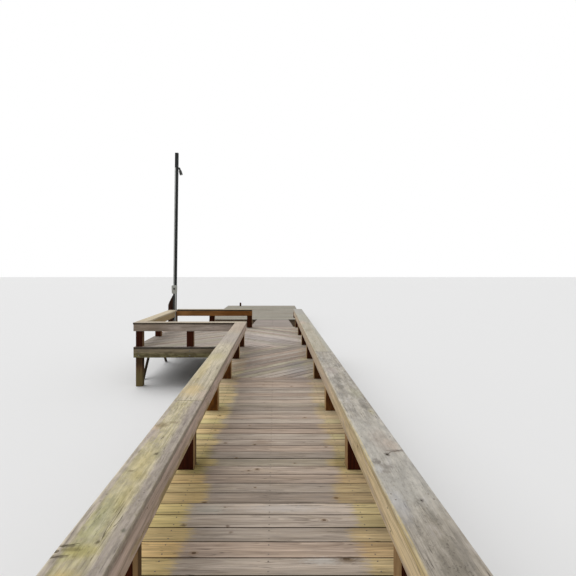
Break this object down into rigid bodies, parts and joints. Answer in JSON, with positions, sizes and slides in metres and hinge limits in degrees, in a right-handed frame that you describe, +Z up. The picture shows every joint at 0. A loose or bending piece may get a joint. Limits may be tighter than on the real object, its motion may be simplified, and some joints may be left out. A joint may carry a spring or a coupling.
{
  "type": "wooden lake jetty",
  "caption": "Low-railed timber walkway on square posts with a side platform and light mast, and a ramp down to a wider end dock, for access to boats.",
  "frame": {"origin": "bottom centre of the whole jetty's box, at the level of the posts' feet", "axes": "+Y from the shore end out to the lower dock, +X to the right of someone walking out, +Z up"},
  "size_m": [4.159, 24.408, 5.73],
  "materials": {
    "deck_timber": "weathered",
    "rail_timber": "weathered",
    "fascia_timber": "weathered",
    "post_timber": "treated",
    "frame_timber": "weathered",
    "mast_timber": "weathered",
    "pile_timber": "treated",
    "conduit_metal": "galvanised",
    "box_plastic": "matt",
    "lamp_metal": "satin",
    "lamp_glass": "frosted"
  },
  "bodies": {
    "root": {"left_posts": "post_timber", "right_posts": "post_timber", "platform_posts": "post_timber", "walkway_cross_beams": "frame_timber", "platform_cross_beams": "frame_timber", "end_cross_beams": "frame_timber", "left_rim_joist": "frame_timber", "right_rim_joist": "frame_timber", "shore_header": "frame_timber", "walkway_joists": "frame_timber", "platform_near_rim": "frame_timber", "platform_side_rim": "frame_timber", "far_rim": "frame_timber", "platform_joists": "frame_timber", "straight_deck": "deck_timber", "diagonal_deck": "deck_timber", "platform_deck": "deck_timber", "left_rail_cap": "rail_timber", "left_rail_fascias": "fascia_timber", "right_rail_cap": "rail_timber", "right_rail_fascias": "fascia_timber", "near_rail_cap": "rail_timber", "near_rail_fascias": "fascia_timber", "side_rail_cap": "rail_timber", "side_rail_fascias": "fascia_timber", "far_rail_cap": "rail_timber", "far_rail_fascias": "fascia_timber", "side_braces": "post_timber", "ramp_deck": "deck_timber", "ramp_stringers": "frame_timber", "dock_left_posts": "post_timber", "dock_right_posts": "post_timber", "dock_cross_beams": "frame_timber", "dock_end_rims": "frame_timber", "dock_side_rims": "frame_timber", "dock_joists": "frame_timber", "dock_deck": "deck_timber", "mooring_posts": "post_timber", "mast": "mast_timber", "mast_pile": "pile_timber", "conduits": "conduit_metal", "switch_box": "box_plastic", "lamp_bracket": "lamp_metal", "lamp_housing": "lamp_metal", "lamp_lens": "lamp_glass"}
  },
  "joints": []
}
